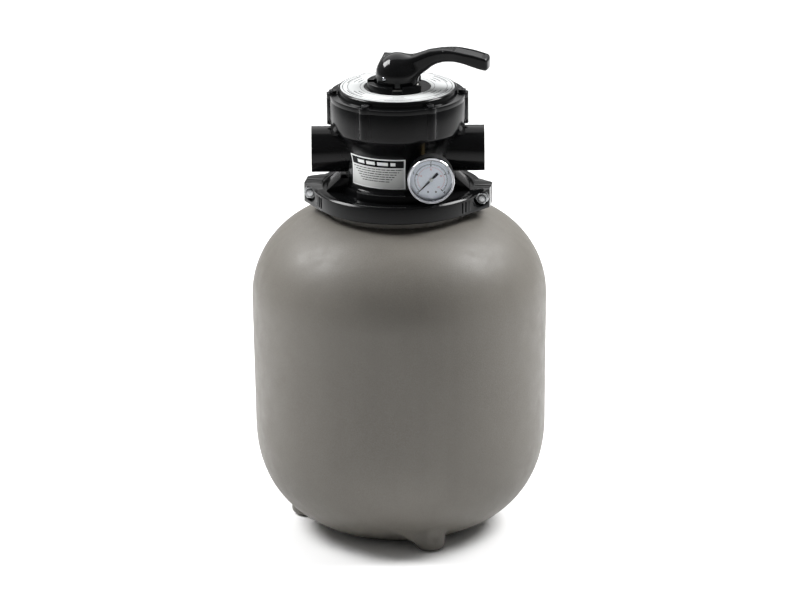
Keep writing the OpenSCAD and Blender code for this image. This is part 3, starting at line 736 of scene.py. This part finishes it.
def ring_marks(r_in, r_out, a, spread, low, high):
    """A flat mark on a ring, between two radii, centred on an angle in degrees."""
    steps = max(1, int(spread / 3))
    turns = [math.radians(a + spread * (i / steps - 0.5)) for i in range(steps + 1)]
    outer = [(r_out * math.cos(t), r_out * math.sin(t)) for t in turns]
    inner = [(x * r_in / r_out, y * r_in / r_out) for x, y in reversed(outer)]
    return slab(outer + inner, low, high)


def lid_label():
    """Printed ring on the lid: thin circles, and rows of plain strokes where each way's words would be."""
    lo, hi = box_mm("position_label")
    r_out, low, high = hi.x, lo.z, hi.z
    r_in = LABEL_IN_R
    points, faces = lathe(rounded([(r_in, low), (r_out, low), (r_out, high), (r_in, high)], 0.12, 3), 160)
    piece("lid_label", mesh_of("lid_label", points, faces), "root", FILM, ["position_label"])
    top = high + 0.07
    rings = [lathe([(r, high - 0.1), (r + w, high - 0.1), (r + w, top), (r, top)], 160)
             for r, w in ((64.6, 0.7), (58.8, 0.5), (44.0, 0.5))]
    rng = random.Random(11)
    for k in range(6):
        centre = 30 + 60 * k
        for r, spread in ((61.2, 30), (54.5, 20), (49.5, 14)):
            a = centre - spread / 2
            while a < centre + spread / 2:
                step = rng.uniform(1.2, 2.8)
                rings.append(ring_marks(r - 0.7, r + 0.7, a + step / 2, step * 0.72, high - 0.1, top))
                a += step
    points, faces = joined(rings)
    piece("lid_marks", mesh_of("lid_marks", points, faces), "root", INK)


def bent_slab(a0, a1, z0, z1, lift, thick, steps=10):
    """A thin printed patch on the neck's round side, following its widening."""
    points = []
    rows = 6
    for i in range(steps + 1):
        a = math.radians(a0 + (a1 - a0) * i / steps)
        for j in range(rows + 1):
            z = z0 + (z1 - z0) * j / rows
            base = neck_radius(z) + lift
            for extra in (0, thick):
                q = base + extra
                points.append((q * math.cos(a), q * math.sin(a), z))
    faces = []
    m = (rows + 1) * 2
    for i in range(steps):
        for j in range(rows):
            a = i * m + 2 * j
            faces.append((a, a + 2, a + m + 2, a + m))
            faces.append((a + 1, a + m + 1, a + m + 3, a + 3))
        for j in (0, rows):
            a = i * m + 2 * j
            faces.append((a, a + m, a + m + 1, a + 1))
    for i in (0, steps):
        for j in range(rows):
            a = i * m + 2 * j
            faces.append((a, a + 1, a + 3, a + 2))
    return points, faces


def neck_radius(z):
    """Outside radius of the valve's neck, which widens into the bowl."""
    rise = min(max(z - BOWL_Z, 0), 50)
    return NECK_R + BOWL_CURVE - math.sqrt(BOWL_CURVE ** 2 - rise ** 2)


def print_patch(name, patches, look, nodes=()):
    """Patches (from, to, low, high, lift, thickness, steps) on the neck, as one piece."""
    points, faces = joined([bent_slab(*patch) for patch in patches])
    piece(name, mesh_of(name, points, faces), "root", look, nodes)


def sticker():
    """Sticker on the neck: a dark band with plain blocks, and lines of plain strokes under it."""
    lo, hi = box_mm("neck_sticker")
    a0, a1 = STICKER_FROM, STICKER_TO
    z0, z1 = lo.z + 0.1, hi.z - 0.2
    span = a1 - a0
    left, right = a0 + EDGE_DEGREES, a1 - EDGE_DEGREES
    over = PRINT_LIFT + PRINT_THICK
    print_patch("sticker", [(a0, a1, z0, z1, 0.02, 0.3, 28)], STICKER, ["neck_sticker"])
    print_patch("sticker_field", [(left, right, z0 + 1.4, z1 - 11.5, PRINT_LIFT, PRINT_THICK, 28)], FILM_GREY)
    print_patch("sticker_band", [(left, right, z1 - 11.0, z1 - 1.5, PRINT_LIFT, PRINT_THICK, 28)], INK)
    blocks = ((0.16, 0.3), (0.34, 0.5), (0.54, 0.72), (0.76, 0.84))
    print_patch("sticker_blocks", [
        (a0 + span * start, a0 + span * end, z1 - 8.4, z1 - 4.2, over, PRINT_THICK, 6)
        for start, end in blocks], STICKER)
    rng = random.Random(5)
    strokes = []
    for row, width in enumerate((0.9, 0.8, 0.72, 0.66, 0.58, 0.5)):
        z = z1 - 13.6 - 2.9 * row
        a, stop = a0 + span * (0.5 - width / 2), a0 + span * (0.5 + width / 2)
        while a < stop:
            step = min(rng.uniform(2.0, 6.0), stop - a + 0.1)
            strokes.append((a, a + step * 0.82, z - 0.45, z + 0.45, over, PRINT_THICK, 3))
            a += step
    print_patch("sticker_lines", strokes, INK)


lid_label()
sticker()


# ---------------------------------------------------------------- gauge

BEZEL_LO, BEZEL_HI = box_mm("gauge_bezel")
GAUGE_R = (BEZEL_HI.x - BEZEL_LO.x) / 2
GAUGE = ((BEZEL_HI.x + BEZEL_LO.x) / 2, 0.0, (BEZEL_HI.z + BEZEL_LO.z) / 2)
GAUGE_FRONT = -BEZEL_LO.y
DIAL_TOP = -box_mm("gauge_dial")[0].y
ZERO_ANGLE, SCALE_SWEEP = 225.0, -270.0
DIAL_R_LESS, SCALE_R, NUMBER_R, INNER_NUMBER_R = 2.75, 19.3, 22.0, 12.7


def gauge_piece(name, parts, look, nodes=(), body="root", sharp=50):
    """A piece of the gauge, from parts modelled about +Z with the gauge's axis as Z."""
    points, faces = joined(parts)
    mesh = mesh_of(name, turned_forward(points, GAUGE), faces, sharp)
    piece(name, mesh, body, look, nodes)


def gauge_rings():
    """The grooved bezel, the domed pane and the dial plate."""
    r, f = GAUGE_R, GAUGE_FRONT
    bezel = rounded([
        (r - 1.3, f - 8), (r, f - 8), (r, f - 0.9), (r - 0.5, f), (r - 1.1, f), (r - 1.4, f - 1.3),
        (r - 2.0, f - 1.3), (r - 2.2, f - 0.3), (r - 3.0, f - 0.8), (r - 3.2, f - 1.6), (r - 1.3, f - 1.6)],
        [0.2, 0.5, 0.4, 0.2, 0.2, 0.1, 0.1, 0.2, 0.2, 0, 0], 3)
    gauge_piece("bezel", [lathe(bezel, 128)], CHROME, ["gauge_bezel"])
    pane_r = r - DIAL_R_LESS
    pane = [(0.01, f - 1.65)] + [(pane_r * s, f - 1.65 - 0.15 * s * s) for s in (0.3, 0.6, 0.9, 1)]
    pane += [(pane_r, f - 3.0), (pane_r * 0.6, f - 2.95), (0.01, f - 2.9)]
    gauge_piece("lens", [lathe(pane, 96)], LENS, ["gauge_lens"])
    hole_r, back = 1.05, DIAL_TOP - 0.75
    plate = rounded([(hole_r, back), (pane_r, back), (pane_r, DIAL_TOP), (hole_r, DIAL_TOP)], 0.1, 2)
    gauge_piece("dial", [lathe(plate, 96)], DIAL, ["gauge_dial"])


def dial_mark(angle, r_in, r_out, width, low, high):
    """A radial stroke on the dial at an angle in degrees."""
    a = math.radians(angle)
    c, s = math.cos(a), math.sin(a)
    corners = [(r_in, -width / 2), (r_out, -width / 2), (r_out, width / 2), (r_in, width / 2)]
    return slab([(c * u - s * v, s * u + c * v) for u, v in corners], low, high)


def number_mesh(text, size, x, y, low):
    """A generic number, flat on the dial, as points and faces."""
    curve = bpy.data.curves.new("number", "FONT")
    curve.body = text
    curve.size = size
    curve.align_x = "CENTER"
    curve.align_y = "CENTER"
    curve.resolution_u = 3
    half = 0.06
    curve.extrude = half
    obj = bpy.data.objects.new("number", curve)
    bpy.context.scene.collection.objects.link(obj)
    evaluated = obj.evaluated_get(bpy.context.evaluated_depsgraph_get())
    mesh = bpy.data.meshes.new_from_object(evaluated)
    points = [(v.co.x + x, v.co.y + y, v.co.z + low + half) for v in mesh.vertices]
    faces = [tuple(p.vertices) for p in mesh.polygons]
    bpy.data.objects.remove(obj)
    bpy.data.meshes.remove(mesh)
    return points, faces


def dial_scales():
    """Outer scale in black, inner scale in red, generic numbers for both, and two plain dots."""
    low, high = DIAL_TOP - 0.05, DIAL_TOP + 0.07
    black, red, grey = [], [], []
    for i in range(61):
        a = ZERO_ANGLE + SCALE_SWEEP * i / 60
        major, middle = i % 15 == 0, i % 5 == 0
        inner = 16.6 if major else 17.8 if middle else 18.4
        black.append(dial_mark(a, inner, SCALE_R, 1.1 if major else 0.5, low, high))
    arc = [(SCALE_R, low), (SCALE_R + 0.2, low), (SCALE_R + 0.2, high), (SCALE_R, high)]
    black.append(lathe(arc, 60, ZERO_ANGLE + SCALE_SWEEP, -SCALE_SWEEP))
    for i in range(41):
        a = ZERO_ANGLE + SCALE_SWEEP * i / 40
        inner = 14.6 if i % 10 == 0 else 15.1
        red.append(dial_mark(a, inner, 16.2, 0.4, low, high))
    for i in range(5):
        a = math.radians(ZERO_ANGLE + SCALE_SWEEP * i / 4)
        c, s = math.cos(a), math.sin(a)
        black.append(number_mesh(str(i), 5.0, NUMBER_R * c, NUMBER_R * s, low))
        red.append(number_mesh(str(15 * i), 2.8, INNER_NUMBER_R * c, INNER_NUMBER_R * s, low))
    for x in (-3.6, 5.6):
        points, faces = lathe([(0.01, low), (1.25, low), (1.25, high), (0.01, high)], 24)
        grey.append((points + np.array((x, -14.6, 0)), faces))
    gauge_piece("scale_black", black, INK)
    gauge_piece("scale_red", red, INK_RED)
    gauge_piece("scale_dots", grey, INK_GREY)


def needle():
    """Tapered pointer with a broad tail, and its hub with a domed cap."""
    z = DIAL_TOP + 0.55
    turn = math.radians(ZERO_ANGLE)
    c, s = math.cos(turn), math.sin(turn)
    blade = [(20.0, -0.3), (20.0, 0.3), (1.8, 1.1), (-4, 1.1), (-4.6, 1.5), (-11, 1.6), (-11.5, 1.2),
             (-11.5, -1.2), (-11, -1.6), (-4.6, -1.5), (-4, -1.1), (1.8, -1.1)]
    outline = [(c * u - s * v, s * u + c * v) for u, v in blade]
    cap = lathe([(0.01, z - 0.3), (2.5, z - 0.3), (2.5, z + 0.6), (1.9, z + 0.95), (0.9, z + 1.1),
                 (0.01, z + 1.15)], 32)
    axle = lathe([(0.01, z - 4.0), (0.85, z - 4.0), (0.85, z - 0.2), (0.01, z - 0.2)], 24)
    pointer = slab(outline, z, z + 0.4)
    gauge_piece("needle", [pointer, axle], NEEDLE, ["gauge_needle"], "needle", 30)
    gauge_piece("needle_cap", [cap], FILM_GREY, (), "needle", 40)


gauge_rings()
dial_scales()
needle()


# ---------------------------------------------------------------- floor, lights and camera

def floor():
    """Plain pale floor, 9 m each way from the tank."""
    mesh = bpy.data.meshes.new("floor")
    size, rows = 9.0, 24
    line = [size * (2 * i / rows - 1) for i in range(rows + 1)]
    points = [(x, y, 0) for x in line for y in line]
    n = rows + 1
    faces = [(i * n + j, (i + 1) * n + j, (i + 1) * n + j + 1, i * n + j + 1)
             for i in range(rows) for j in range(rows)]
    mesh.from_pydata(points, [], faces)
    obj = bpy.data.objects.new("floor", mesh)
    bpy.context.scene.collection.objects.link(obj)
    mat, tree, shader, coords = new_material("floor")
    shader.inputs["Roughness"].default_value = 0.9
    tone = add_range(tree, add_noise(tree, coords, 3), 0, 1)
    tree.links.new(add_mix(tree, tone, (0.9, 0.9, 0.9), (0.92, 0.92, 0.92)), shader.inputs["Base Color"])
    mesh.materials.append(mat)


def area_light(name, place, aim, size, power):
    """Soft rectangular light at a place, aimed at a point."""
    data = bpy.data.lights.new(name, "AREA")
    data.shape = "RECTANGLE"
    data.size, data.size_y = size
    data.energy = power
    obj = bpy.data.objects.new(name, data)
    bpy.context.scene.collection.objects.link(obj)
    obj.location = place
    obj.rotation_mode = "QUATERNION"
    obj.rotation_quaternion = (Vector(aim) - Vector(place)).to_track_quat("-Z", "Y")


def sky():
    """Soft white surroundings, dimmer towards the front."""
    world = bpy.data.worlds.new("studio")
    bpy.context.scene.world = world
    world.use_nodes = True
    tree = world.node_tree
    back = tree.nodes["Background"]
    coords = tree.nodes.new("ShaderNodeTexCoord")
    split = tree.nodes.new("ShaderNodeSeparateXYZ")
    tree.links.new(coords.outputs["Generated"], split.inputs["Vector"])
    level = add_range(tree, split.outputs["Y"], SKY_FRONT, SKY_BACK, -0.6, 0.5)
    back.inputs["Color"].default_value = (1, 1, 1, 1)
    tree.links.new(level, back.inputs["Strength"])


def camera():
    """Long lens, looking down at the tank's middle from the front."""
    data = bpy.data.cameras.new("camera")
    data.lens, data.sensor_width = LENS_MM, 36
    data.clip_start, data.clip_end = 0.5, 60
    obj = bpy.data.objects.new("camera", data)
    bpy.context.scene.collection.objects.link(obj)
    e = math.radians(ELEVATION)
    place = ORBIT_CENTRE + Vector((0, -math.cos(e), math.sin(e))) * DISTANCE
    view = (AIM - place).to_track_quat("-Z", "Y")
    obj.location = place
    obj.rotation_mode = "QUATERNION"
    obj.rotation_quaternion = view @ Matrix.Rotation(math.radians(ROLL), 3, "Z").to_quaternion()
    bpy.context.scene.camera = obj


SKY_FRONT, SKY_BACK = 0.16, 0.34
LENS_MM, ELEVATION, DISTANCE, ROLL = 454.0, 17.2, 12.0, -0.54
ORBIT_CENTRE = Vector((0, 0, 0.3))
AIM = Vector((0.0007, 0, 0.2746))
bpy.context.scene.view_settings.view_transform = "Standard"
floor()
sky()
area_light("left", (-1.65, 0.35, 2.0), (0, 0, 0.42), (1.0, 1.0), 76)
area_light("right", (1.65, 0.35, 2.0), (0, 0, 0.42), (1.0, 1.0), 80)
area_light("top", (0, 0.9, 2.5), (0, 0, 0.3), (2.6, 1.2), 14)
area_light("backdrop", (0, 3.4, 2.6), (0, 3.0, 0), (7.0, 3.0), 90)
camera()
